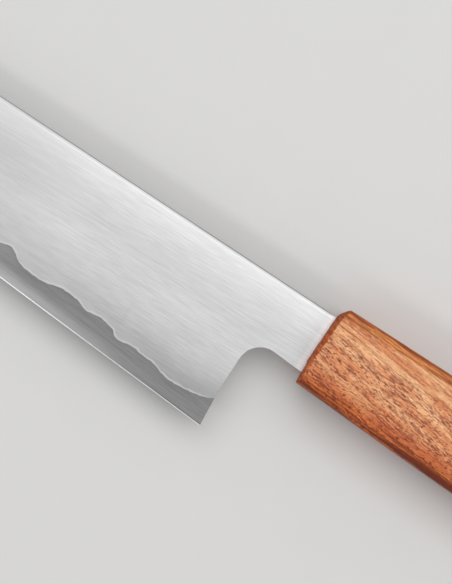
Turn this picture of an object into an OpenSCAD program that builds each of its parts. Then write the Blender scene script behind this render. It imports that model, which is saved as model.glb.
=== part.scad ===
// Kiritsuke kitchen knife: a three-layer blade on an octagonal wooden handle.
// The knife lies on its right side, with the left face of the blade up.
// +X runs from the point to the butt, +Y towards the spine and +Z out of the left face.
// The origin is the middle of the knife's footprint, on the surface that the handle lies on.

/* [Blade outline] */
// Length of the cutting edge, from the heel's corner to the point
blade_len = 240; // [225:1:270]
// Height of the blade at the heel, from the edge to the spine
heel_h = 47.8; // [45:0.1:52]
// Gap from the heel's corner to the front of the handle
heel_gap = 14.9; // [12:0.1:18]
// Height of the spine above the handle's centreline, where it meets the handle
spine_rise = 9.3; // [8.6:0.1:10]
// Fall of the spine towards the point, in degrees
spine_fall = 0.85; // [0.4:0.05:2]
// Rise of the cutting edge towards the point, in degrees
edge_rise = 2.25; // [1.2:0.05:3]
// Extra rise of the edge that the belly adds by the point
belly = 5.5; // [3:0.1:8]
// Length of the slanted clip, from the spine's corner to the point
clip_len = 37; // [30:1:46]
// Height of the blunt end of the point
point_h = 0.6; // [0.4:0.1:1.2]

/* [Heel and neck] */
// Radius of the fillet between the back of the heel and the neck
choil_r = 7; // [6:0.25:8]
// Depth to which the back of the heel is hollowed
choil_hollow = 1.4; // [0.4:0.1:2.4]
// Height of the neck behind the fillet
neck_h = 18.3; // [17:0.1:19]
// Flare of the neck's underside towards the handle, in degrees
neck_flare = 2.2; // [0:0.1:3]

/* [Blade section] */
// Thickness of the spine at the handle
spine_t = 3.1; // [2.6:0.1:3.6]
// Thickness of the spine at the clip's corner
clip_t = 1.6; // [1.2:0.1:2.2]
// Thickness of the blade just above the edge bevel
edge_t = 0.26; // [0.2:0.01:0.5]
// Thickness of the edge itself
edge_land = 0.05; // [0.03:0.01:0.1]
// Height of the edge bevel
bevel_h = 0.3; // [0.2:0.05:0.9]
// Fullness of the ground faces, from 1 for flat to less for convex
grind = 0.8; // [0.65:0.05:1]
// Width of the chamfer that eases the spine
spine_ease = 0.7; // [0.3:0.05:0.9]
// Share of the spine's thickness that is core steel
core_share = 0.34; // [0.28:0.01:0.42]
// Thickness at which the cladding runs out along the weld line
clad_lip = 0.08; // [0.05:0.01:0.12]
// Length of the point that is core steel right through
bare_point = 10; // [9:0.5:14]

/* [Tang] */
// Length of the full neck inside the handle
neck_seat = 1.5; // [1:0.1:2]
// Length over which the shoulders draw in to the tang
shoulder_len = 4.5; // [3.5:0.1:5]
// Length of the tang behind the shoulders
tang_len = 98; // [85:1:105]
// Height of the tang at the shoulders
tang_h = 10; // [8.5:0.1:10.5]
// Height of the tang at its end
tang_end_h = 6.5; // [5:0.1:8]
// Thickness of the tang at the shoulders
tang_t = 2.9; // [2.4:0.1:3]
// Thickness of the tang at its end
tang_end_t = 1.7; // [1.4:0.1:2.2]

/* [Handle] */
// Length of the handle
handle_len = 145; // [136:1:155]
// Height of the handle at the front
front_h = 25.5; // [25:0.1:27]
// Height of the handle at the butt
butt_h = 28.5; // [27:0.1:30]
// Swell of each long side between its ends
swell = 0.75; // [0.5:0.05:1.5]
// Thickness of the handle across its two broad faces
handle_w = 20; // [19:0.1:22]
// Width, in each direction, that the four slanted faces cut off
corner_cut = 3.4; // [2.8:0.1:4]
// Radius to which the front end is crowned
crown_r = 140; // [110:5:200]
// Height of the crown's top above the centreline
crown_y = 3; // [0:0.5:4]
// Chamfer round the front end
front_ease = 1.1; // [0.8:0.1:1.6]
// Chamfer round the butt
butt_ease = 1.6; // [1:0.1:2.4]

/* [Mouth and dowel] */
// Clearance between the neck and the mouth that is cut for it
mouth_gap = 0.25; // [0.15:0.05:0.4]
// Diameter of the blind bore for the dowel
bore_d = 13; // [12.6:0.1:13.4]
// Depth of the bore from the front of the handle
bore_depth = 116; // [113:1:122]
// Clearance between the dowel and the wall of its bore
dowel_gap = 0.1; // [0.05:0.01:0.15]
// Clearance between the dowel's end and the bottom of the bore
dowel_end_gap = 0.4; // [0.2:0.1:0.8]
// Clearance between the tang and its slot in the dowel
slot_gap = 0.3; // [0.2:0.05:0.35]
// Depth of the slot past the end of the tang
slot_spare = 2; // [1:0.5:3]
// Film left between the steel and the adhesive round it
film = 0.04; // [0.03:0.01:0.06]

/* [Hidden] */

// Weld line where the cladding ends: distance ahead of the heel, height above the edge
weld_line = [
    [0, 8.9], [3, 7.5], [7, 6.4], [11, 5.7], [15, 5.3], [18, 5.7], [21, 6.5], [25, 6.5],
    [29, 6.8], [33, 5.9], [35, 6.3], [36.2, 7.4], [38, 7.7], [41, 8], [46, 7.2], [49, 8.1], [55, 8.1],
    [60, 6.6], [64.5, 6.3], [69, 6.7], [73.5, 9], [78, 7.7], [84, 6.2], [92, 7.4], [98, 8.3],
    [106, 6.6], [114, 6], [122, 7.5], [130, 6.4], [139, 8.2], [148, 7], [157, 5.9], [166, 7.3],
    [175, 6.2], [184, 7.5], [194, 6.3], [204, 7.1], [215, 6.2], [228, 6.9], [240, 7.2]
];
// Smallest height of cladding kept above the weld line
clad_min_h = 0.8;

// Places along the knife, measured from the front of the handle
heel_x = -heel_gap;
point_x = heel_x - blade_len;
back_x = heel_x - choil_hollow;
fillet_x = back_x + choil_r;
tang_x = neck_seat + shoulder_len;
tang_end_x = tang_x + tang_len;

// Heights of the outline, measured from the handle's centreline
neck_y = spine_y(fillet_x) - neck_h;
fillet_y = neck_y - choil_r;
heel_y = spine_y(heel_x) - heel_h;
point_y = edge_y(point_x);
clip_y = spine_y(point_x + clip_len);
back_r = pow(fillet_y - heel_y, 2) / (2 * choil_hollow);

function spine_y(x) = spine_rise + x * tan(spine_fall);
function ahead(x) = max(heel_x - x, 0);
function edge_y(x) = heel_y + (heel_x - x) * tan(edge_rise) + belly * pow(ahead(x) / blade_len, 3);
function clip_line_y(x) = point_y + point_h + (x - point_x) * (clip_y - point_y - point_h) / clip_len;
function top_y(x) = min(spine_y(x), clip_line_y(x));
function neck_bottom_y(x) = neck_y - (x - fillet_x) * tan(neck_flare);

// Back of the heel: a wide hollow that turns into the fillet under the neck
function choil_x(y) =
    y >= neck_y ? fillet_x :
    y > fillet_y ? fillet_x - sqrt(max(choil_r * choil_r - pow(y - fillet_y, 2), 0)) :
    back_x + pow(fillet_y - y, 2) / (2 * back_r);

// Smooth curve through a list of points
function span_at(points, x, i = 0) = i >= len(points) - 2 || x < points[i + 1][0] ? i : span_at(points, x, i + 1);
function slope_at(points, i) =
    let (a = points[max(i - 1, 0)], b = points[min(i + 1, len(points) - 1)])
    (b[1] - a[1]) / (b[0] - a[0]);
function smooth(points, x) =
    let (
        last = points[len(points) - 1][0],
        at = min(max(x, points[0][0]), last),
        i = span_at(points, at),
        a = points[i],
        b = points[i + 1],
        w = b[0] - a[0],
        t = (at - a[0]) / w
    )
    a[1] * (1 + 2 * t) * pow(1 - t, 2) + b[1] * t * t * (3 - 2 * t)
    + slope_at(points, i) * w * t * pow(1 - t, 2) - slope_at(points, i + 1) * w * t * t * (1 - t);

// Weld line: the left face shows the list as it stands, and the right face wanders the other way
mean_weld_h = 7;
function weld_h(u, side) =
    let (h = smooth(weld_line, u), settle = min(u / weld_settle, 1))
    side > 0 ? h : h + settle * (2 * mean_weld_h - 2 * h);
weld_settle = 12;
function weld_y(x, side) =
    min(edge_y(x) + weld_h(ahead(x), side), top_y(x) - spine_ease - clad_min_h);

// Half thickness of the blade at a point of its face
taper = (spine_t - clip_t) / (blade_len - clip_len + heel_gap);
function spine_half(x) = (spine_t + min(x, 0) * taper) / 2;
function face_z(x, y) =
    let (
        over = y - edge_y(x),
        full = spine_y(x) - edge_y(x) - bevel_h,
        rise = min(max(over - bevel_h, 0) / full, 1)
    )
    over < bevel_h ?
    edge_land / 2 + (edge_t - edge_land) / 2 * over / bevel_h :
    edge_t / 2 + (spine_half(x) - edge_t / 2) * pow(rise, grind);

// Half thickness of the core steel under the cladding
function core_z(x, y, side) =
    let (
        base_y = weld_y(x, side),
        lip = face_z(x, base_y) - clad_lip,
        rise = min(max(y - base_y, 0) / (spine_y(x) - base_y), 1)
    )
    lip + (core_share * spine_half(x) - lip) * rise;

// Columns of the blade's grid, from the point to the back of the heel
point_steps = 2;
clip_steps = 8;
far_steps = 30;
near_steps = 34;
heel_steps = 5;
near_len = 80;
heel_zone = 11;
corner_u = blade_len - clip_len;
bare_u = blade_len - bare_point;
function steps_between(from, to, count) = [for (k = [1:count]) from + (to - from) * k / count];
columns = concat(
    [blade_len],
    steps_between(blade_len, bare_u, point_steps),
    steps_between(bare_u, corner_u, clip_steps),
    steps_between(corner_u, near_len, far_steps),
    steps_between(near_len, heel_zone, near_steps),
    steps_between(heel_zone, 0, heel_steps)
);
clad_from = point_steps;
choil_col = len(columns) - 1;

// Columns of the neck and tang, from the handle's front inwards
tang_columns = [fillet_x / 2, 0, neck_seat, tang_x, tang_x + tang_len / 2, tang_end_x];

// Rows of the grid: the bare edge below the weld line, and the clad face above it
fillet_step = 22.5;
clad_rows = concat(
    [0, fillet_share(0) / 2],
    [for (a = [0:fillet_step:90]) fillet_share(a)],
    [(1 + fillet_share(90)) / 2, 1]
);
function fillet_share(a) =
    let (from = heel_y + weld_h(0, 1))
    (fillet_y + choil_r * sin(a) - from) / (spine_y(fillet_x) - spine_ease - from);
edge_rows = 4;
neck_row = len(clad_rows) - 3;
top_row = len(clad_rows);

// A point of the blade's outline grid; row -1 to -4 is the bare edge, 0 and up is the clad face
function blade_xy(u, row, side, layer) =
    let (
        pull = u < heel_zone ? 1 - u / heel_zone : 0,
        base_x = heel_x - u,
        top_x = base_x + pull * (fillet_x - heel_x),
        edge = edge_y(base_x),
        bare = u > bare_u + 0.001,
        top = top_y(top_x),
        weld = bare ? top : weld_y(base_x, side),
        bevel = min(bevel_h, (weld - edge) / 3),
        y = row == -4 ? edge :
            row == -3 ? edge + bevel :
            row == -2 ? edge + bevel + (weld - edge - bevel) / 2 :
            row == -1 || bare ? weld :
            row == 0 ? weld + (layer == "core" ? clad_lip : 0) :
            row == top_row ? top :
            weld + clad_rows[row] * (top - spine_ease - weld)
    )
    [base_x + pull * (choil_x(y) - heel_x), y];

// A point of the neck and tang, whose rows carry on from the clad face
function tang_xy(x, row) =
    let (
        inside = x >= tang_x,
        run = (x - tang_x) / tang_len,
        half = (tang_h + (tang_end_h - tang_h) * run) / 2,
        top = inside ? half : spine_y(x),
        bottom = inside ? -half : neck_bottom_y(x),
        share = (clad_rows[min(row, top_row - 1)] - clad_rows[neck_row]) / (1 - clad_rows[neck_row])
    )
    [x, row == top_row ? top : bottom + share * (top - spine_ease - bottom)];
function tang_half(x) = (tang_t + (tang_end_t - tang_t) * (x - tang_x) / tang_len) / 2;

// Height of the outer face and of the core's face at a grid point
function outer_z(p, row, side) =
    p[0] >= tang_x ? tang_half(p[0]) :
    row == top_row ? (face_z(p[0], p[1]) + core_z(p[0], p[1], side)) / 2 :
    face_z(p[0], p[1]);
function inner_z(p, side) =
    p[0] >= tang_x ? core_share * tang_half(p[0]) : core_z(p[0], p[1], side);
function grid_xy(c, row, side, layer) =
    c <= choil_col ? blade_xy(columns[c], row, side, layer) : tang_xy(tang_columns[c - choil_col - 1], row);

// One face of a layer, as a list of points in column order
all_columns = len(columns) + len(tang_columns);
function face_points(first, low_row, side, layer) = [
    for (c = [first:all_columns - 1]) for (row = [low_row:top_row])
    let (
        used = c > choil_col ? max(row, neck_row) : row,
        p = grid_xy(c, used, side, layer),
        z = layer == "outer" || used < 0 || c < clad_from ? outer_z(p, used, side) : inner_z(p, side)
    )
    [p[0], p[1], side * z]
];

// Index of a grid point; in the bare point the clad rows close up on the weld line
function at(c, row, first, low_row) =
    let (used = c < clad_from && row > -1 ? -1 : row)
    (c - first) * (top_row - low_row + 1) + used - low_row;
function tri(a, b, c) = a == b || b == c || a == c ? [] : [[a, b, c]];
function quad(a, b, c, d) = concat(tri(a, b, c), tri(a, c, d));

// Cells that cover a layer, and the loop of points round its outline
function cells(first, low_row) = [
    for (c = [first:all_columns - 2]) for (row = [c < choil_col ? low_row : neck_row:top_row - 1])
    let (
        a = at(c, row, first, low_row),
        b = at(c + 1, row, first, low_row),
        d = at(c, row + 1, first, low_row),
        e = at(c + 1, row + 1, first, low_row)
    )
    for (t = quad(a, b, e, d)) t
];
function outline(first, low_row) = concat(
    [for (c = [first:choil_col]) at(c, low_row, first, low_row)],
    [for (row = [low_row + 1:1:neck_row]) at(choil_col, row, first, low_row)],
    [for (c = [choil_col + 1:all_columns - 1]) at(c, neck_row, first, low_row)],
    [for (row = [neck_row + 1:top_row]) at(all_columns - 1, row, first, low_row)],
    [for (c = [all_columns - 2:-1:first]) at(c, top_row, first, low_row)],
    [for (row = [top_row - 1:-1:low_row + 1]) at(first, row, first, low_row)]
);

// A closed layer between an upper and a lower face that share one grid
module layer(first, low_row, upper, lower) {
    n = len(upper);
    loop = outline(first, low_row);
    flat = cells(first, low_row);
    walls = [
        for (k = [0:len(loop) - 1])
        let (a = loop[k], b = loop[(k + 1) % len(loop)])
        if (a != b) for (t = quad(a, b, b + n, a + n)) t
    ];
    polyhedron(
        points = concat(upper, lower),
        faces = concat(
            [for (t = flat) [t[0], t[2], t[1]]],
            [for (t = flat) [t[0] + n, t[1] + n, t[2] + n]],
            walls
        )
    );
}

// Side outline of the handle: half heights along its length, with its ends eased
side_steps = 14;
function side_half(x) =
    let (r = x / handle_len)
    front_h / 2 + (butt_h - front_h) / 2 * r + 4 * swell * r * (1 - r);
side_x = steps_between(front_ease, handle_len - butt_ease, side_steps);
function upper_side(half) = concat(
    [[front_ease, half[0]]],
    [for (k = [0:side_steps - 1]) [side_x[k], half[k + 1]]]
);
side_halves = [for (x = concat([front_ease], side_x)) side_half(x)];

// Crowned front end, from the upper to the lower corner of a side outline
crown_steps = 8;
function crown_x(y) = pow(y - crown_y, 2) / (2 * crown_r);
function front_end(y) = [for (k = [0:crown_steps]) let (v = y * (1 - 2 * k / crown_steps)) [crown_x(v), v]];

// One pair of opposite faces of the handle, cut from a long bar
module face_pair(halves, crowned, angle) {
    side = upper_side(halves);
    front_y = halves[0] - front_ease;
    butt_y = halves[side_steps] - butt_ease;
    front = crowned ? front_end(front_y) : [[0, front_y], [0, -front_y]];
    rotate([angle, 0, 0])
        linear_extrude(height = 2 * butt_h, center = true)
            polygon(concat(
                front,
                [for (p = side) [p[0], -p[1]]],
                [[handle_len, -butt_y], [handle_len, butt_y]],
                [for (k = [len(side) - 1:-1:0]) side[k]]
            ));
}

// Everything is drawn from the front of the handle and then set on the frame
body_top_y = max(side_halves);
mid_x = (point_x + handle_len) / 2;
mid_y = (heel_y + body_top_y) / 2;
module on_frame() translate([-mid_x, -mid_y, handle_w / 2]) children();

// Mouth for the neck: a flat slot across the front of the handle and of the dowel
mouth_top = spine_y(tang_x) + mouth_gap;
mouth_bottom = neck_bottom_y(tang_x) - mouth_gap;
mouth_t = spine_t + 2 * mouth_gap;
slot_h = tang_h + 2 * slot_gap;
slot_t = tang_t + 2 * slot_gap;
slot_end_x = tang_end_x + slot_spare;
module mouth_block(from) {
    translate([from, mouth_bottom, -mouth_t / 2])
        cube([tang_x - from, mouth_top - mouth_bottom, mouth_t]);
}
module slot_block() {
    translate([tang_x, -slot_h / 2, -slot_t / 2])
        cube([slot_end_x - tang_x, slot_h, slot_t]);
}

// Space that the neck and tang take up, with a film of clearance all round
module tang_space() {
    before = fillet_x;
    intersection() {
        linear_extrude(height = 2 * handle_w, center = true)
            polygon([
                [before, spine_y(before) + film],
                [before, neck_bottom_y(before) - film],
                [neck_seat, neck_bottom_y(neck_seat) - film],
                [tang_x, -tang_h / 2 - film],
                [tang_end_x + film, -tang_end_h / 2 - film],
                [tang_end_x + film, tang_end_h / 2 + film],
                [tang_x, tang_h / 2 + film],
                [neck_seat, spine_y(neck_seat) + film]
            ]);
        rotate([90, 0, 0])
            linear_extrude(height = 2 * heel_h, center = true)
                polygon([
                    [before, spine_t / 2 + film],
                    [before, -spine_t / 2 - film],
                    [neck_seat, -spine_t / 2 - film],
                    [tang_x, -tang_t / 2 - film],
                    [tang_end_x + film, -tang_end_t / 2 - film],
                    [tang_end_x + film, tang_end_t / 2 + film],
                    [tang_x, tang_t / 2 + film],
                    [neck_seat, spine_t / 2 + film]
                ]);
    }
}

module core_steel() {
    color([0.62, 0.63, 0.65])
        on_frame()
            layer(0, -4, face_points(0, -4, 1, "core"), face_points(0, -4, -1, "core"));
}

module left_cladding() {
    color([0.84, 0.85, 0.86])
        on_frame()
            layer(clad_from, 0, face_points(clad_from, 0, 1, "outer"), face_points(clad_from, 0, 1, "core"));
}

module right_cladding() {
    color([0.84, 0.85, 0.86])
        on_frame()
            layer(clad_from, 0, face_points(clad_from, 0, -1, "core"), face_points(clad_from, 0, -1, "outer"));
}

module handle() {
    slant_halves = [for (h = side_halves) (h + handle_w / 2 - corner_cut) / sqrt(2)];
    flat_halves = [for (h = side_halves) handle_w / 2];
    color([0.80, 0.55, 0.36])
        on_frame()
            difference() {
                intersection() {
                    face_pair(side_halves, true, 0);
                    face_pair(flat_halves, false, 90);
                    face_pair(slant_halves, false, 45);
                    face_pair(slant_halves, false, -45);
                }
                mouth_block(-front_ease);
                rotate([0, 90, 0])
                    cylinder(h = bore_depth, d = bore_d, $fn = 64);
                translate([-front_ease, 0, 0])
                    rotate([0, 90, 0])
                        cylinder(h = 2 * front_ease, d = bore_d, $fn = 64);
            }
}

module slotted_dowel() {
    front_x = crown_x(bore_d / 2);
    color([0.90, 0.82, 0.66])
        on_frame()
            difference() {
                translate([front_x, 0, 0])
                    rotate([0, 90, 0])
                        cylinder(h = bore_depth - dowel_end_gap - front_x, d = bore_d - 2 * dowel_gap, $fn = 64);
                mouth_block(-front_ease);
                slot_block();
            }
}

module tang_adhesive() {
    seal_x = crown_x(mouth_bottom);
    color([0.30, 0.24, 0.18])
        on_frame()
            difference() {
                union() {
                    mouth_block(seal_x);
                    slot_block();
                }
                tang_space();
            }
}

core_steel();
left_cladding();
right_cladding();
handle();
slotted_dowel();
tang_adhesive();
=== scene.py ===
import math

import bmesh
import bpy
from mathutils import Matrix, Vector


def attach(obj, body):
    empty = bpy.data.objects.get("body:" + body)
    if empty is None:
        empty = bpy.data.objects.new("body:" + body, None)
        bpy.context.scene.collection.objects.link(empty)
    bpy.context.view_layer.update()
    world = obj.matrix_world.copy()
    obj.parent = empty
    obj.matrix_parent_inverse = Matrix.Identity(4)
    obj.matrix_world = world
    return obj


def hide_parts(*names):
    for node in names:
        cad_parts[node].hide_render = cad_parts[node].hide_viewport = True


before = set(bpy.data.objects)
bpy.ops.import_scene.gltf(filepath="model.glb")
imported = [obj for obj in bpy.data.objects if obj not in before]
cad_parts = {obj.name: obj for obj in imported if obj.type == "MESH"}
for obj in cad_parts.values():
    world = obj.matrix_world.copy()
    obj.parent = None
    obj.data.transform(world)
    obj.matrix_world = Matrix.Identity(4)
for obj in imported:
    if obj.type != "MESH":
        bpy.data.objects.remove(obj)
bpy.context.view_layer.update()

# Sizes in millimetres, in the knife's own frame, as the solids have them: x runs back from the
# front of the handle, y from the handle's centreline to the spine, z up from the blade's middle.
BLADE_LEN, HEEL_H, HEEL_GAP = 240, 47.8, 14.9
SPINE_RISE, SPINE_FALL = 9.3, 0.85
EDGE_RISE, BELLY = 2.25, 5.5
CLIP_LEN, POINT_H = 37, 0.6
CHOIL_R, CHOIL_HOLLOW = 7, 1.4
NECK_H, NECK_FLARE = 18.3, 2.2
SPINE_T, CLIP_T, EDGE_T, EDGE_LAND = 3.1, 1.6, 0.26, 0.05
BEVEL_H, GRIND, SPINE_EASE = 0.3, 0.8, 0.7
CORE_SHARE, CLAD_LIP, CLAD_MARGIN = 0.34, 0.08, 1.5
MEAN_WELD_H, WELD_SETTLE = 7, 12
NECK_SEAT, SHOULDER_LEN, TANG_LEN = 1.5, 4.5, 98
TANG_H, TANG_END_H, TANG_T, TANG_END_T = 10, 6.5, 2.9, 1.7
HANDLE_LEN, FRONT_H, BUTT_H, SWELL = 145, 25.5, 28.5, 0.75
HANDLE_W, CORNER_CUT = 20, 3.4
CROWN_R, CROWN_Y, BUTT_EASE = 140, 3, 1.6
MOUTH_GAP, BORE_D, BORE_DEPTH = 0.25, 13, 116

# A millimetre in the scene's metres
MM = 0.001

# Handwork that the solids leave out: the claddings run further into the point and the weld line
# trembles, the ridges of the handle are eased, and its front is rounded off and filed
CLAD_END_U, LEAST_MARGIN, MARGIN_RUN = 231.5, 0.15, 6
TREMBLE, TREMBLE_RUN = 0.055, 4
RIDGE_R, RIDGE_SHOULDER = 1.1, 0.25
FRONT_CUT, SOFT_BORDER = 1.6, 0.35
FALL, FALL_START, FALL_RUN, RAKE = 1.3, 8.8, 3.3, 0.07
CHAMFER_SHARE = 0.72

# Where the front chamfer narrows: share lost, height where that starts, run, side of the centreline
CHAMFER_LOSSES = ((0.25, 10.2, 2, 1), (0.3, 3, 2.5, -1), (0.2, 5, 3, -1))

# Chamfers with soft borders: distance from the end, inset of the faces. The butt's is symmetrical,
# and its list holds one half. Between them the body has rings up to these distances from the ends.
BUTT_CHAMFER = ((0, 1.95), (0.02, 1.72), (0.12, 1.5))
FRONT_CHAMFER = ((1.6, 0), (1.3, 0.01), (1.1, 0.07), (0.93, 0.2), (0.5, 0.63), (0.2, 0.93),
                 (0.07, 1.1), (0.01, 1.3))
BODY_TO_BUTT, BODY_TO_FRONT, BODY_RINGS = 2.4, 3.6, 48

# What a vertex on the end grain has as its distance behind the chamfer, and the angles in degrees
# from which an edge is drawn sharp
END_GRAIN = -2
BLADE_SHARP, HANDLE_SHARP = 12, 32

# Weld line: distance ahead of the heel, height above the edge
WELD_LINE = (
    (0, 8.9), (3, 7.5), (7, 6.4), (11, 5.7), (15, 5.3), (18, 5.7), (21, 6.5), (25, 6.5),
    (29, 6.8), (33, 5.9), (35, 6.3), (36.2, 7.4), (38, 7.7), (41, 8), (46, 7.2), (49, 8.1), (55, 8.1),
    (60, 6.6), (64.5, 6.3), (69, 6.7), (73.5, 9), (78, 7.7), (84, 6.2), (92, 7.4), (98, 8.3),
    (106, 6.6), (114, 6), (122, 7.5), (130, 6.4), (139, 8.2), (148, 7), (157, 5.9), (166, 7.3),
    (175, 6.2), (184, 7.5), (194, 6.3), (204, 7.1), (215, 6.2), (228, 6.9), (240, 7.2),
)


def tan(degrees):
    return math.tan(math.radians(degrees))


def clamped(share):
    return max(min(share, 1), 0)


# Outline of the blade
HEEL_X = -HEEL_GAP
POINT_X = HEEL_X - BLADE_LEN
BACK_X = HEEL_X - CHOIL_HOLLOW
FILLET_X = BACK_X + CHOIL_R
TANG_X = NECK_SEAT + SHOULDER_LEN
TANG_END_X = TANG_X + TANG_LEN


def spine_y(x):
    return SPINE_RISE + x * tan(SPINE_FALL)


NECK_Y = spine_y(FILLET_X) - NECK_H
FILLET_Y = NECK_Y - CHOIL_R
HEEL_Y = spine_y(HEEL_X) - HEEL_H
BACK_R = (FILLET_Y - HEEL_Y) ** 2 / (2 * CHOIL_HOLLOW)


def edge_y(x):
    return HEEL_Y + (HEEL_X - x) * tan(EDGE_RISE) + BELLY * (max(HEEL_X - x, 0) / BLADE_LEN) ** 3


POINT_Y = edge_y(POINT_X)
CLIP_Y = spine_y(POINT_X + CLIP_LEN)


def top_y(x):
    clip_line = POINT_Y + POINT_H + (x - POINT_X) * (CLIP_Y - POINT_Y - POINT_H) / CLIP_LEN
    return min(spine_y(x), clip_line)


def neck_bottom_y(x):
    return NECK_Y - (x - FILLET_X) * tan(NECK_FLARE)


def choil_x(y):
    if y >= NECK_Y:
        return FILLET_X
    if y > FILLET_Y:
        return FILLET_X - math.sqrt(max(CHOIL_R ** 2 - (y - FILLET_Y) ** 2, 0))
    return BACK_X + (FILLET_Y - y) ** 2 / (2 * BACK_R)


def weld_height(u, side):
    """Height of the weld line above the edge. The right face wanders the other way."""
    points = WELD_LINE
    i = max(k for k in range(len(points) - 1) if k == 0 or points[k][0] <= u)
    a, b = points[i], points[i + 1]
    before, after = points[max(i - 1, 0)], points[min(i + 2, len(points) - 1)]
    slope_a = (b[1] - before[1]) / (b[0] - before[0])
    slope_b = (after[1] - a[1]) / (after[0] - a[0])
    w = b[0] - a[0]
    t = (u - a[0]) / w
    high = (a[1] * (1 + 2 * t) * (1 - t) ** 2 + b[1] * t * t * (3 - 2 * t)
            + slope_a * w * t * (1 - t) ** 2 - slope_b * w * t * t * (1 - t))
    high += TREMBLE * min(u / TREMBLE_RUN, 1) * (math.sin(u * 2.3 + 1) + math.sin(u * 3.7 + side) * 0.6)
    return high if side > 0 else high + min(u / WELD_SETTLE, 1) * (2 * MEAN_WELD_H - 2 * high)


def weld_y(x, side):
    u = max(HEEL_X - x, 0)
    margin = max(LEAST_MARGIN, CLAD_MARGIN * min(1, (CLAD_END_U - u) / MARGIN_RUN))
    return min(edge_y(x) + weld_height(min(u, BLADE_LEN), side), top_y(x) - margin)


# Outline of the handle, and the place of the knife's frame in the part's frame
def side_half(x):
    r = x / HANDLE_LEN
    return FRONT_H / 2 + (BUTT_H - FRONT_H) / 2 * r + 4 * SWELL * r * (1 - r)


HANDLE_TOP = max(side_half(x) for x in range(HANDLE_LEN))
KNIFE_ORIGIN = Vector((-(POINT_X + HANDLE_LEN) / 2, -(HEEL_Y + HANDLE_TOP) / 2, HANDLE_W / 2))


def part_point(x, y, z):
    """A point of the knife's frame in the part's frame, in metres."""
    return (Vector((x, y, z)) + KNIFE_ORIGIN) * MM


# Section of the blade
TAPER = (SPINE_T - CLIP_T) / (BLADE_LEN - CLIP_LEN + HEEL_GAP)


def spine_half(x):
    return (SPINE_T + min(x, 0) * TAPER) / 2


def face_z(x, y):
    over = y - edge_y(x)
    if over < BEVEL_H:
        return EDGE_LAND / 2 + (EDGE_T - EDGE_LAND) / 2 * over / BEVEL_H
    full = spine_y(x) - edge_y(x) - BEVEL_H
    rise = min((over - BEVEL_H) / full, 1)
    return EDGE_T / 2 + (spine_half(x) - EDGE_T / 2) * rise ** GRIND


def core_z(x, y, side):
    base = weld_y(x, side)
    lip = face_z(x, base) - CLAD_LIP
    rise = clamped((y - base) / (spine_y(x) - base))
    return lip + (CORE_SHARE * spine_half(x) - lip) * rise


def tang_half(x):
    return (TANG_T + (TANG_END_T - TANG_T) * (x - TANG_X) / TANG_LEN) / 2


# Stations along the blade, from the point to the heel, and then along the neck and tang
def spread(start, stop, count):
    return [start + (stop - start) * k / count for k in range(1, count + 1)]


# Zones of stations ahead of the heel: where each ends and how many it has
HEEL_ZONE = 11
ZONES = ((CLAD_END_U, 10), (BLADE_LEN - CLIP_LEN, 30), (80, 120), (HEEL_ZONE, 120), (0, 20))
CLAD_START = ZONES[0][1]
stations = [BLADE_LEN]
for zone_end, steps in ZONES:
    stations += spread(stations[-1], zone_end, steps)
CHOIL_STATION = len(stations) - 1
tang_stations = spread(FILLET_X, 0, 8) + [NECK_SEAT, TANG_X, 30, 60, TANG_END_X]


# Rows up the clad face, as shares of its height: closest at the weld line and round the fillet
def fillet_share(angle):
    start = HEEL_Y + WELD_LINE[0][1]
    high = FILLET_Y + CHOIL_R * math.sin(math.radians(angle)) - start
    return high / (spine_y(FILLET_X) - SPINE_EASE - start)


ROWS_TO_FILLET = (0, 0.015, 0.035, 0.06, 0.1, 0.16, 0.24, 0.34, 0.46, 0.6, 0.74, 0.87)
clad_rows = [fillet_share(0) * share for share in ROWS_TO_FILLET]
clad_rows += [fillet_share(angle) for angle in range(0, 91, 9)]
NECK_ROW = len(clad_rows) - 1
clad_rows += spread(clad_rows[-1], 0.975, 9) + [1]
EASE_ROW = len(clad_rows) - 1
EASE_STEPS = 6
TOP_ROW = EASE_ROW + EASE_STEPS

# Rows of the bare edge, counted down from the weld line: shares of the height above the bevel
BARE_ROWS = (0, 0.05, 0.12, 0.25, 0.4, 0.55, 0.7, 0.85, 1)
BEVEL_ROWS = 2
LOW_ROW = -len(BARE_ROWS) - BEVEL_ROWS


def eased(row):
    """How far round the eased corner of the spine a row lies, from 0 to a quarter turn."""
    return max(row - EASE_ROW, 0) / EASE_STEPS * math.pi / 2


def eased_z(x, y, top, row, side):
    """Half thickness where a cladding rounds off from its face, at y, to the core under its top."""
    corner = face_z(x, y)
    return corner - (corner - core_z(x, top, side)) / 2 * (1 - math.cos(eased(row)))


def blade_point(station, row, side, layer):
    """A point of a layer's face: x, y, and the half thickness there."""
    if station > CHOIL_STATION:
        return tang_point(tang_stations[station - CHOIL_STATION - 1], row, side, layer)
    u = stations[station]
    pull = max(1 - u / HEEL_ZONE, 0)
    base_x = HEEL_X - u
    edge = edge_y(base_x)
    top = top_y(base_x + pull * (FILLET_X - HEEL_X))
    bare = station < CLAD_START
    weld = top if bare else weld_y(base_x, side)
    ease = 0 if bare else min(SPINE_EASE, (top - weld) / 3)
    bevel = min(BEVEL_H, (weld - edge) / 3)
    if row < -len(BARE_ROWS):
        y = edge + bevel * (row - LOW_ROW) / BEVEL_ROWS
    elif row < 0:
        y = weld - (weld - edge - bevel) * BARE_ROWS[-1 - row]
    elif bare:
        y = weld
    elif row <= EASE_ROW:
        y = weld + clad_rows[row] * (top - ease - weld)
        if layer == "core" and row == 0:
            y += CLAD_LIP
    else:
        y = top - ease * (1 - math.sin(eased(row)))
    x = base_x + pull * (choil_x(y) - HEEL_X)
    if layer == "core" and row >= 0 and not bare:
        return x, y, core_z(x, y, side)
    if row <= EASE_ROW or bare:
        return x, y, face_z(x, y)
    return x, y, eased_z(x, top - ease, top, row, side)


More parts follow.
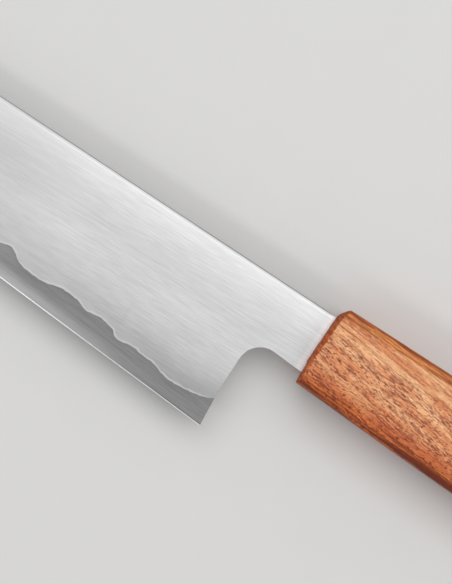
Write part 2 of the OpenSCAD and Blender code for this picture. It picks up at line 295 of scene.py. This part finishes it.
def tang_point(x, row, side, layer):
    run = (x - TANG_X) / TANG_LEN
    half = (TANG_H + (TANG_END_H - TANG_H) * run) / 2
    top, bottom = (half, -half) if x >= TANG_X else (spine_y(x), neck_bottom_y(x))
    row = max(row, NECK_ROW)
    if row <= EASE_ROW:
        share = (clad_rows[row] - clad_rows[NECK_ROW]) / (1 - clad_rows[NECK_ROW])
        y = bottom + share * (top - SPINE_EASE - bottom)
    else:
        y = top - SPINE_EASE * (1 - math.sin(eased(row)))
    if x >= TANG_X:
        return x, y, tang_half(x) * (CORE_SHARE if layer == "core" else 1)
    if layer == "core":
        return x, y, core_z(x, y, side)
    return x, y, eased_z(x, min(y, top - SPINE_EASE), top, row, side)


def weld_distance(x, y, side):
    """Distance from the weld line, square to it, in millimetres."""
    step = 0.3
    slope = (weld_y(x + step, side) - weld_y(x - step, side)) / (2 * step)
    return (y - weld_y(x, side)) / math.sqrt(1 + slope * slope)


def placed(name, data):
    """An object of this mesh, lamp or camera, linked into the scene."""
    made = bpy.data.objects.new(name, data)
    bpy.context.scene.collection.objects.link(made)
    return made


def finish_piece(name, bm, sharp, material, node):
    """Turns a bmesh into a piece that rides on the knife and stands for its solid."""
    bmesh.ops.remove_doubles(bm, verts=bm.verts[:], dist=1e-7)
    bmesh.ops.dissolve_degenerate(bm, edges=bm.edges[:], dist=1e-8)
    bmesh.ops.recalc_face_normals(bm, faces=bm.faces[:])
    if bm.calc_volume(signed=True) < 0:
        bmesh.ops.reverse_faces(bm, faces=bm.faces[:])
    for face in bm.faces:
        face.smooth = True
    for edge in bm.edges:
        edge.smooth = edge.is_manifold and edge.calc_face_angle(0) < math.radians(sharp)
    mesh = bpy.data.meshes.new(name)
    bm.to_mesh(mesh)
    bm.free()
    mesh.materials.append(material)
    piece = placed(name, mesh)
    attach(piece, "root")
    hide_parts(node)


def forge_layer(name, first, low_row, outer, inner, material, node):
    """One layer of the blade: a sheet of stations and rows, drawn out to its thickness."""
    last = CHOIL_STATION + len(tang_stations)
    across, up = last - first, TOP_ROW - low_row
    bm = bmesh.new()
    bmesh.ops.create_grid(bm, x_segments=across, y_segments=up, size=1)
    station_of = bm.verts.layers.int.new("station")
    row_of = bm.verts.layers.int.new("row")
    weld_gap = bm.verts.layers.float.new("weld_gap")
    edge_gap = bm.verts.layers.float.new("edge_gap")
    spine_gap = bm.verts.layers.float.new("spine_gap")
    for vert in bm.verts:
        vert[station_of] = first + round((vert.co.x + 1) / 2 * across)
        vert[row_of] = low_row + round((vert.co.y + 1) / 2 * up)
    behind_choil = [
        face for face in bm.faces
        if max(v[station_of] for v in face.verts) > CHOIL_STATION
        and min(v[row_of] for v in face.verts) < NECK_ROW
    ]
    bmesh.ops.delete(bm, geom=behind_choil, context="FACES")
    drawn = bmesh.ops.extrude_face_region(bm, geom=bm.faces[:])
    far_verts = {v for v in drawn["geom"] if isinstance(v, bmesh.types.BMVert)}
    for vert in bm.verts:
        side, layer = inner if vert in far_verts else outer
        x, y, half = blade_point(vert[station_of], vert[row_of], side, layer)
        vert.co = part_point(x, y, side * half)
        vert[weld_gap] = weld_distance(x, y, side)
        vert[edge_gap] = y - edge_y(x)
        vert[spine_gap] = top_y(x) - y
    finish_piece(name, bm, BLADE_SHARP, material, node)


# Handle: rings of points, made of quarters that run from the middle of a broad face to a narrow one
def rounded_ridge(before, corner, after):
    """Five points that round a corner of 45 degrees, with a point on each face close beside it."""
    to_before = (before - corner).normalized()
    to_after = (after - corner).normalized()
    half_turn = 22.5
    reach = RIDGE_R * tan(half_turn)
    middle = (to_before + to_after).normalized() * RIDGE_R * (1 / math.cos(math.radians(half_turn)) - 1)
    return [corner + to_before * (reach + RIDGE_SHOULDER), corner + to_before * reach, corner + middle,
            corner + to_after * reach, corner + to_after * (reach + RIDGE_SHOULDER)]


def handle_quarter(half_y, half_z, inset):
    a, b = half_y - inset, half_z - inset
    cut = CORNER_CUT - inset * (2 - math.sqrt(2))
    broad, upper, lower, end = Vector((0, b)), Vector((a - cut, b)), Vector((a, b - cut)), Vector((a, 0))
    first = rounded_ridge(broad, upper, lower)
    second = rounded_ridge(upper, lower, end)
    return [broad, (broad + first[0]) / 2, *first, (first[4] + second[0]) / 2, *second,
            (second[4] + end) / 2, end]


def bore_quarter(reach):
    """A quarter of the bore, with the mouth's slot beyond it where reach is more than the radius."""
    radius, half_slot = BORE_D / 2, SPINE_T / 2 + MOUTH_GAP

    def on_circle(angle):
        return Vector((radius * math.sin(math.radians(angle)), radius * math.cos(math.radians(angle))))

    points = [on_circle(a) for a in (0, 18, 27, 36, 45, 54, 61, 67)]
    if reach <= radius:
        return points + [on_circle(a) for a in (72, 75, 78, 81, 84, 87, 90)]
    start = math.sqrt(radius ** 2 - half_slot ** 2)
    points += [Vector((start + (reach - start) * share, half_slot)) for share in (0, 0.25, 0.5, 0.75, 1)]
    return points + [Vector((reach, half_slot / 2)), Vector((reach, 0))]


def whole_ring(upper, lower):
    """A ring of points from a quarter towards the spine and one towards the edge."""
    ring = upper + [Vector((p.x, -p.y)) for p in upper[-2::-1]]
    ring += [Vector((-p.x, -p.y)) for p in lower[1:]]
    return ring + [Vector((-p.x, p.y)) for p in lower[-2:0:-1]]


def front_x(p):
    """The crowned front, rounded off further towards the spine and raked underneath."""
    crown = (p.x - CROWN_Y) ** 2 / (2 * CROWN_R)
    return crown + FALL * clamped((p.x - FALL_START) / FALL_RUN) ** 2 + RAKE * max(-p.y, 0)


def chamfer_share(y):
    """Share of the full front chamfer at this height: the file left it narrower towards both sides."""
    share = CHAMFER_SHARE
    for loss, start, run, direction in CHAMFER_LOSSES:
        share -= loss * clamped((direction * y - start) / run)
    return share


def handle_rings():
    """Rings of points from the middle of the butt, along the outside and into the bore."""
    def outside(x, inset):
        quarter = handle_quarter(side_half(min(max(x, 0), HANDLE_LEN)), HANDLE_W / 2, inset)
        return whole_ring(quarter, quarter)

    # Rings, and how far each lies behind the nearest chamfer, below zero on it and on the end grain
    rings, end_gaps = [], []
    butt = outside(HANDLE_LEN - BUTT_EASE, BUTT_EASE + SOFT_BORDER)
    for share in (0, 0.3, 0.6, 0.85, 0.97):
        rings.append([part_point(HANDLE_LEN, p.x * share, p.y * share) for p in butt])
        end_gaps.append(END_GRAIN)
    for back, inset in BUTT_CHAMFER + tuple((inset, back) for back, inset in reversed(BUTT_CHAMFER)):
        rings.append([part_point(HANDLE_LEN - back, p.x, p.y) for p in outside(HANDLE_LEN - back, inset)])
        end_gaps.append(back - BUTT_EASE)
    for x in spread(HANDLE_LEN - BODY_TO_BUTT, BODY_TO_FRONT, BODY_RINGS):
        rings.append([part_point(x, p.x, p.y) for p in outside(x, 0)])
        end_gaps.append(min(x - FRONT_CUT, HANDLE_LEN - BUTT_EASE - x))
    for x, inset in FRONT_CHAMFER:
        ring = []
        for whole, cut in zip(outside(x, 0), outside(x, inset)):
            share = chamfer_share(whole.x)
            p = whole.lerp(cut, share)
            ring.append(part_point(x * share + front_x(p), p.x, p.y))
        rings.append(ring)
        end_gaps.append(x - FRONT_CUT)
    edges = zip(outside(0, 0), outside(0, FRONT_CUT))
    rim = [whole.lerp(cut, chamfer_share(whole.x)) for whole, cut in edges]
    spine_reach = spine_y(TANG_X) + MOUTH_GAP
    edge_reach = -(neck_bottom_y(TANG_X) - MOUTH_GAP)
    mouth = whole_ring(bore_quarter(spine_reach), bore_quarter(edge_reach))
    bore = whole_ring(bore_quarter(0), bore_quarter(0))
    for share in (0, 0.25, 0.5, 0.75, 0.93, 1):
        ring = [rim[k].lerp(mouth[k], share) for k in range(len(rim))]
        rings.append([part_point(front_x(p), p.x, p.y) for p in ring])
    for x in (0.9, 3, TANG_X - 0.2, TANG_X):
        rings.append([part_point(x, p.x, p.y) for p in mouth])
    for x in (TANG_X, TANG_X + 0.2, 60, BORE_DEPTH - 0.2, BORE_DEPTH):
        rings.append([part_point(x, p.x, p.y) for p in bore])
    for share in (0.5, 0):
        rings.append([part_point(BORE_DEPTH, p.x * share, p.y * share) for p in bore])
    end_gaps += [END_GRAIN] * (len(rings) - len(end_gaps))
    return rings, end_gaps


def carve_handle(name, material, node):
    """The handle's skin is one sheet, rolled up into rings and closed at its seam."""
    rings, end_gaps = handle_rings()
    along, around = len(rings) - 1, len(rings[0])
    bm = bmesh.new()
    bmesh.ops.create_grid(bm, x_segments=along, y_segments=around, size=1)
    end_gap = bm.verts.layers.float.new("end_gap")
    for vert in bm.verts:
        at = round((vert.co.x + 1) / 2 * along)
        vert.co = rings[at][round((vert.co.y + 1) / 2 * around) % around]
        vert[end_gap] = end_gaps[at]
    finish_piece(name, bm, HANDLE_SHARP, material, node)


# Materials
class Signal:
    """A socket's value, so that shader sums can be written as plain expressions."""

    def __init__(self, finish, socket):
        self.finish, self.socket = finish, socket

    def sum(self, operation, first, second):
        return self.finish.node("ShaderNodeMath", {"operation": operation}, {0: first, 1: second})

    def __add__(self, other):
        return self.sum("ADD", self, other)

    def __radd__(self, other):
        return self.sum("ADD", other, self)

    def __sub__(self, other):
        return self.sum("SUBTRACT", self, other)

    def __rsub__(self, other):
        return self.sum("SUBTRACT", other, self)

    def __mul__(self, other):
        return self.sum("MULTIPLY", self, other)

    def __rmul__(self, other):
        return self.sum("MULTIPLY", other, self)


class Finish:
    """A material that is being mixed."""

    def __init__(self, name):
        self.material = bpy.data.materials.new(name)
        self.material.use_nodes = True
        self.tree = self.material.node_tree
        self.tree.nodes.clear()

    def node(self, kind, settings=None, sockets=None, output=0):
        made = self.tree.nodes.new(kind)
        for key, value in (settings or {}).items():
            setattr(made, key, value)
        for key, value in (sockets or {}).items():
            if isinstance(value, Signal):
                self.tree.links.new(value.socket, made.inputs[key])
            else:
                made.inputs[key].default_value = value
        return Signal(self, made.outputs[output] if made.outputs else None)

    def laid(self, size, turn=(0, 0, 0), start=(0, 0, 0)):
        """Object coordinates as counts of a cell of this size, in millimetres, turned by these degrees."""
        place = self.node("ShaderNodeTexCoord", output="Object")
        return self.node("ShaderNodeMapping", {"vector_type": "TEXTURE"}, {
            "Vector": place,
            "Location": [s * MM for s in start],
            "Rotation": [math.radians(t) for t in turn],
            "Scale": [s * MM for s in size],
        })

    def noise(self, size, detail=2, roughness=0.5, turn=(0, 0, 0), start=(0, 0, 0), distortion=0):
        return self.node("ShaderNodeTexNoise", {}, {
            "Vector": self.laid(size, turn, start),
            "Scale": 1, "Detail": detail, "Roughness": roughness, "Distortion": distortion,
        })

    def band(self, value, start, stop, low=0, high=1):
        """A smooth step from low at start to high at stop."""
        return self.node("ShaderNodeMapRange", {"interpolation_type": "SMOOTHSTEP"}, {
            "Value": value, "From Min": start, "From Max": stop, "To Min": low, "To Max": high,
        })

    def along(self, axis):
        """A coordinate of the knife's own frame, in millimetres."""
        place = self.node("ShaderNodeTexCoord", output="Object")
        parts = self.node("ShaderNodeSeparateXYZ", {}, {0: place}, output=axis)
        return parts * (1 / MM) - KNIFE_ORIGIN["XYZ".index(axis)]

    def measure(self, name):
        return self.node("ShaderNodeAttribute", {"attribute_name": name}, output="Fac")

    def blend(self, share, first, second):
        return self.node("ShaderNodeMix", {"data_type": "RGBA"}, {0: share, 6: first, 7: second}, output=2)

    def tinted(self, first, second):
        return self.node("ShaderNodeMix", {"data_type": "RGBA", "blend_type": "MULTIPLY"},
                         {0: 1, 6: first, 7: second}, output=2)

    def tone(self, value, tint):
        """A colour of this tint and brightness."""
        return self.tinted(value, (*tint, 1))

    def bump(self, height, strength, depth):
        """Relief of this height, whose full depth is in millimetres."""
        return self.node("ShaderNodeBump", {}, {
            "Height": height, "Strength": strength, "Distance": depth * MM,
        })

    def surface(self, **sockets):
        inputs = {name.replace("_", " "): value for name, value in sockets.items()}
        shader = self.node("ShaderNodeBsdfPrincipled", {}, inputs)
        self.node("ShaderNodeOutputMaterial", {}, {"Surface": shader})
        return self.material


WHITE = (1, 1, 1, 1)


def brushed_surface(steel, value, fine, polish=0):
    """Steel of this brightness with fine brushed lines, smoother where it is polished."""
    return steel.surface(
        Base_Color=steel.tone(value, (1, 1, 1.003)),
        Metallic=1.0,
        Roughness=0.36 + 0.1 * (fine - 0.5) - polish,
        Normal=steel.bump(fine, 0.12, 0.01),
    )


def satin_cladding():
    steel = Finish("satin_cladding")
    brush_turn = (0, 0, 2.3)
    fine = steel.noise((5.5, 0.17, 2), detail=3, roughness=0.6, turn=brush_turn)
    long_lines = steel.noise((20, 0.8, 4), detail=3, turn=brush_turn, start=(3, 1, 0))
    cloud = steel.noise((26, 8, 8), detail=2)
    ragged = steel.noise((3, 2, 2), detail=2, start=(5, 0, 0))
    gap = steel.measure("weld_gap")
    from_spine = steel.measure("spine_gap")
    length, height = steel.along("X"), steel.along("Y")
    brushed = 0.36 * (fine - 0.5) + 0.125 * (long_lines - 0.5)
    value = 0.606 + brushed * steel.band(length, -92, -62, 0.7, 1) + 0.06 * (cloud - 0.5)

    # Painted light and shade across the height: a painted sheen towards the spine and below the middle,
    # then painted shade towards the edge
    value = value * (1 + steel.band(height, -4, 8, 0, 0.17))
    value = value * (1 + steel.band(height, -5, -15, 0, 0.07))
    value = value * (1 - steel.band(height, -15, -28, 0, 0.13))

    # Painted shade round the eased spine, a painted highlight close to the handle, and painted shade
    # further along the blade
    corner_shade = steel.band(from_spine, 0.95, 0.7, 0, 0.26)
    top_shade = steel.band(from_spine, 0.5, 0.2, 0, 0.08)
    value = value * (1 - corner_shade - top_shade)
    value = value * (1 + steel.band(length, -2.6, 0, 0, 0.42))
    dim_part = steel.band(length, -80, -104) * steel.band(length, -170, -125)
    value = value * (1 - dim_part * steel.band(height, -24, -4, 0.04, 0.1))

    # Painted shade above the weld line near the heel, and the pale ragged seam along it
    weld_painted_shade = steel.band(gap, 9, 0.8) * steel.band(length, -80, -20)
    value = value * (1 - weld_painted_shade * 0.24)
    seam = steel.band(gap - 1.4 * (ragged - 0.5), 0.7, 0.3)
    value = value * (1 - seam) + seam * steel.band(length, -75, -30, 0.635, 0.595)
    return brushed_surface(steel, value, fine)


def bare_core():
    steel = Finish("bare_core_steel")
    brush_turn = (0, 0, -2.2)
    fine = steel.noise((5, 0.15, 2), detail=3, roughness=0.6, turn=brush_turn)
    long_lines = steel.noise((15, 0.6, 4), detail=3, turn=brush_turn)
    below = steel.measure("weld_gap") * -1
    above = steel.measure("edge_gap")
    length = steel.along("X")
    # Painted sheen that brightens the bare core towards the edge, strong along the blade and faint by the
    # heel
    painted_edge_sheen = steel.band(above, 4.5, 0.5) * steel.band(length, -84, -26, 0.25, 0.03)
    bevel = steel.band(above, BEVEL_H + 0.05, BEVEL_H - 0.05)
    burr_line = steel.band(above, BEVEL_H + 0.4, BEVEL_H + 0.1) * steel.band(length, -45, -25)
    value = 0.276 + 0.15 * (fine - 0.5) + 0.14 * (long_lines - 0.5) + steel.band(length, -78, -92, 0, 0.03)
    value = value + painted_edge_sheen - steel.band(below, 1.6, 0) * 0.02
    value = value * (1 - burr_line * 0.42)
    # The honed bevel is lighter, polished steel, with a painted highlight that brightens it further along
    # the blade
    value = value * (1 - bevel) + bevel * (0.5 + steel.band(length, -45, -80, 0, 0.22))
    return brushed_surface(steel, value, fine, polish=bevel * 0.12)


def end_grain(wood):
    """Growth rings cut across, with open pores between them."""
    rings = wood.noise((20, 0.9, 7), detail=2, turn=(12, 0, 0), distortion=0.3)
    pores = wood.noise((2, 0.3, 0.3), detail=1, start=(2, 6, 1))
    colour = wood.blend(wood.band(rings, 0.4, 0.6), (0.33, 0.07, 0.022, 1), (0.52, 0.13, 0.042, 1))
    return wood.blend(wood.band(pores, 0.56, 0.66) * 0.8, colour, (0.16, 0.032, 0.014, 1))


def oiled_wood():
    wood = Finish("open_grained_wood")
    height, depth = wood.along("Y"), wood.along("Z")
    lean, fleck_lean = (0, 0, -5), (0, 0, -8)
    figure = wood.noise((24, 3.2, 5), detail=2, turn=lean, distortion=0.5)
    rows = wood.noise((12, 1.5, 3), detail=2, turn=lean, start=(4, 2, 1), distortion=0.3)
    flecks = wood.noise((2.6, 0.5, 1.2), detail=2, turn=fleck_lean, start=(1, 5, 2))
    spots = wood.noise((1.7, 0.32, 0.8), detail=2, turn=fleck_lean, start=(2, 8, 6))
    dapple = wood.noise((2.8, 0.8, 1.2), detail=2, turn=lean, start=(3, 9, 5))
    pores = wood.noise((1.1, 0.27, 0.6), detail=1, turn=fleck_lean, start=(7, 3, 4))
    lines = wood.noise((17, 0.34, 0.8), detail=2, turn=lean, distortion=0.4)
    fibre = wood.noise((9, 0.14, 0.3), detail=2, turn=lean)
    speckle = wood.noise((0.7, 0.25, 0.3), detail=1, turn=fleck_lean)
    streaks = wood.noise((36, 0.95, 1.2), detail=3, roughness=0.65, turn=(0, 0, -2), start=(9, 2.1, 1))
    ragged = wood.noise((0.8, 0.8, 0.8), detail=2, start=(1, 4, 3))
    cream, salmon = (0.96, 0.53, 0.27, 1), (0.80, 0.31, 0.13, 1)
    streak_gold, streak_brown = (0.90, 0.34, 0.094, 1), (0.32, 0.062, 0.010, 1)
    fleck_brown, spot_brown = (0.44, 0.13, 0.066, 1), (0.27, 0.065, 0.035, 1)
    line_brown, pore_brown = (0.40, 0.115, 0.045, 1), (0.19, 0.04, 0.02, 1)

    # Cream and salmon figure on the broad faces
    colour = wood.blend(wood.band(figure, 0.36, 0.62), salmon, cream)
    colour = wood.blend(wood.band(dapple, 0.52, 0.7) * 0.6, colour, cream)
    colour = wood.blend(wood.band(dapple, 0.48, 0.3) * 0.5, colour, salmon)

    # Long streaks on the sloping and narrow faces, which lie nearer to the blade's middle
    beyond = (HANDLE_W / 2) ** 2 - depth * depth
    facet = wood.band(beyond + (streaks - 0.5) * 30, 2, 12) * wood.band(height, -2, 2, 0.82, 0.95)
    streak_tone = wood.band(streaks + (figure - 0.5) * 0.5, 0.38, 0.58)
    colour = wood.blend(facet, colour, wood.blend(streak_tone, streak_brown, streak_gold))

    # Rows of flecks and spots, which give way to fine lines towards the spine
    smooth_part = wood.band(height, 2.5, 6.5) * wood.band(figure, 0.3, 0.55, 0.6, 1)
    row_mask = wood.band(rows, 0.41, 0.58, 0.12, 1) * (1 - 0.7 * smooth_part)
    line_mask = wood.band(lines, 0.53, 0.63) * (0.35 + 0.5 * smooth_part)
    colour = wood.blend(wood.band(flecks, 0.45, 0.59) * row_mask * 0.95, colour, fleck_brown)
    colour = wood.blend(wood.band(spots, 0.53, 0.63) * row_mask * 0.8, colour, spot_brown)
    colour = wood.blend(line_mask, colour, line_brown)

    # Painted shade on the sloping and narrow faces, heavier on the edge side, and stronger streaks on the
    # edge side
    side_painted_shade = wood.blend(wood.band(height, -2, 2), (0.62, 0.52, 0.42, 1), (0.78, 0.65, 0.53, 1))
    colour = wood.tinted(colour, wood.blend(wood.band(beyond, 18, 60), WHITE, side_painted_shade))
    deeper = wood.blend(streak_tone, (0.62, 0.6, 0.58, 1), (1.22, 1.25, 1.25, 1))
    colour = wood.blend(facet * wood.band(height, 2, -2), colour, wood.tinted(colour, deeper))

    # Open pores, and painted shade that darkens and reddens the edge side
    pore_mask = wood.band(pores, 0.58, 0.66) * (1 - 0.5 * smooth_part)
    colour = wood.blend(pore_mask * 0.9, colour, pore_brown)
    colour = wood.tinted(colour, wood.blend(wood.band(height, -10, -1.5), (0.78, 0.505, 0.37, 1), WHITE))

    # End grain on the front, the butt and their chamfers, with painted shade towards the spine
    end = wood.band(wood.measure("end_gap") + (ragged - 0.5) * 0.8, 0.16, -0.16)
    end_painted_shade = wood.blend(wood.band(height, 2, 9), (1.05, 1.05, 1.05, 1), (0.8, 0.78, 0.76, 1))
    colour = wood.blend(end, colour, wood.tinted(end_grain(wood), end_painted_shade))
    grain = 0.62 + 0.38 * fibre + 0.42 * speckle
    return wood.surface(
        Base_Color=wood.tinted(colour, wood.tone(grain, (1, 1, 1))),
        Roughness=0.46 + 0.1 * (flecks - 0.5) + pore_mask * 0.2 + end * 0.35,
        Specular_IOR_Level=0.25,
        Normal=wood.bump(fibre * 0.25 - pore_mask, 0.3, 0.12),
    )


def dowel_wood():
    wood = Finish("pale_dowel_wood")
    rings = wood.noise((40, 0.7, 6), detail=2)
    fibre = wood.noise((12, 0.1, 0.1), detail=2)
    colour = wood.blend(wood.band(rings, 0.35, 0.65), (0.80, 0.62, 0.36, 1), (0.58, 0.38, 0.18, 1))
    colour = wood.blend(wood.band(wood.along("X"), 1.2, 0.5), colour, end_grain(wood))
    roughness = 0.6 + 0.1 * (fibre - 0.5)
    return wood.surface(Base_Color=colour, Roughness=roughness, Normal=wood.bump(fibre, 0.3, 0.05))


def set_resin():
    resin = Finish("set_tang_resin")
    mottle = resin.noise((1.5, 1.5, 1.5), detail=3)
    colour = resin.blend(mottle, (0.05, 0.03, 0.018, 1), (0.11, 0.07, 0.04, 1))
    roughness = 0.35 + 0.2 * mottle
    return resin.surface(Base_Color=colour, Roughness=roughness, Normal=resin.bump(mottle, 0.3, 0.05))


def pale_floor():
    board = Finish("pale_floor")
    mottle = board.noise((14, 14, 14), detail=4)
    colour = board.tone(0.76 + 0.02 * (mottle - 0.5), (1, 0.995, 0.985))
    return board.surface(Base_Color=colour, Roughness=0.85)


# Blade
cladding_finish = satin_cladding()
forge_layer("blade_core", 0, LOW_ROW, (1, "core"), (-1, "core"), bare_core(), "core_steel")
forge_layer("left_blade_cladding", CLAD_START, 0, (1, "outer"), (1, "core"), cladding_finish,
            "left_cladding")
forge_layer("right_blade_cladding", CLAD_START, 0, (-1, "outer"), (-1, "core"), cladding_finish,
            "right_cladding")

# Handle, and the dowel and resin that its solids show
carve_handle("octagonal_handle", oiled_wood(), "handle")
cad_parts["slotted_dowel"].material_slots[0].material = dowel_wood()
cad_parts["tang_adhesive"].material_slots[0].material = set_resin()


# Surroundings
def lay_floor():
    bm = bmesh.new()
    bmesh.ops.create_grid(bm, x_segments=2, y_segments=2, size=4)
    mesh = bpy.data.meshes.new("floor")
    bm.to_mesh(mesh)
    bm.free()
    mesh.materials.append(pale_floor())
    placed("floor", mesh)


def softbox(name, place, aim, width, height, level):
    """A rectangular lamp whose face has this brightness, where 1 shows as white."""
    lamp = bpy.data.lights.new(name, "AREA")
    lamp.shape = "RECTANGLE"
    lamp.size, lamp.size_y = width, height
    lamp.energy = level * math.pi * width * height
    holder = placed(name, lamp)
    holder.location = place
    holder.rotation_euler = (Vector(aim) - Vector(place)).to_track_quat("-Z", "Y").to_euler()
    holder.visible_camera = False


lay_floor()
softbox("overhead_softbox", (0, 0.50, 1.1), (0, 0.50, 0), 2.2, 1.0, 1.2)
softbox("edge_strip", (0, -0.82, 1.1), (0, 0, 0), 2.2, 0.25, 1.6)

world = bpy.data.worlds.new("studio")
world.use_nodes = True
background = world.node_tree.nodes["Background"]
background.inputs["Color"].default_value = WHITE
background.inputs["Strength"].default_value = 0.5
bpy.context.scene.world = world

# Camera: above the heel, leaning a little towards the edge
TURN, LEAN, DISTANCE = math.radians(34.2), math.radians(2.3), 0.470
LENS, SENSOR = 100.5, 36
target = part_point(-30.25, -2.65, 0)
back = Vector((0, -math.sin(LEAN), math.cos(LEAN)))
up = Vector((-math.sin(TURN), math.cos(TURN), 0))
up = (up - back * up.dot(back)).normalized()
camera_data = bpy.data.cameras.new("camera")
camera_data.lens = LENS
camera_data.sensor_width = SENSOR
camera_data.clip_start = 0.01
camera = placed("camera", camera_data)
facing = Matrix((up.cross(back), up, back)).transposed().to_4x4()
camera.matrix_world = Matrix.Translation(target + back * DISTANCE) @ facing
bpy.context.scene.camera = camera

bpy.context.scene.view_settings.view_transform = "Standard"
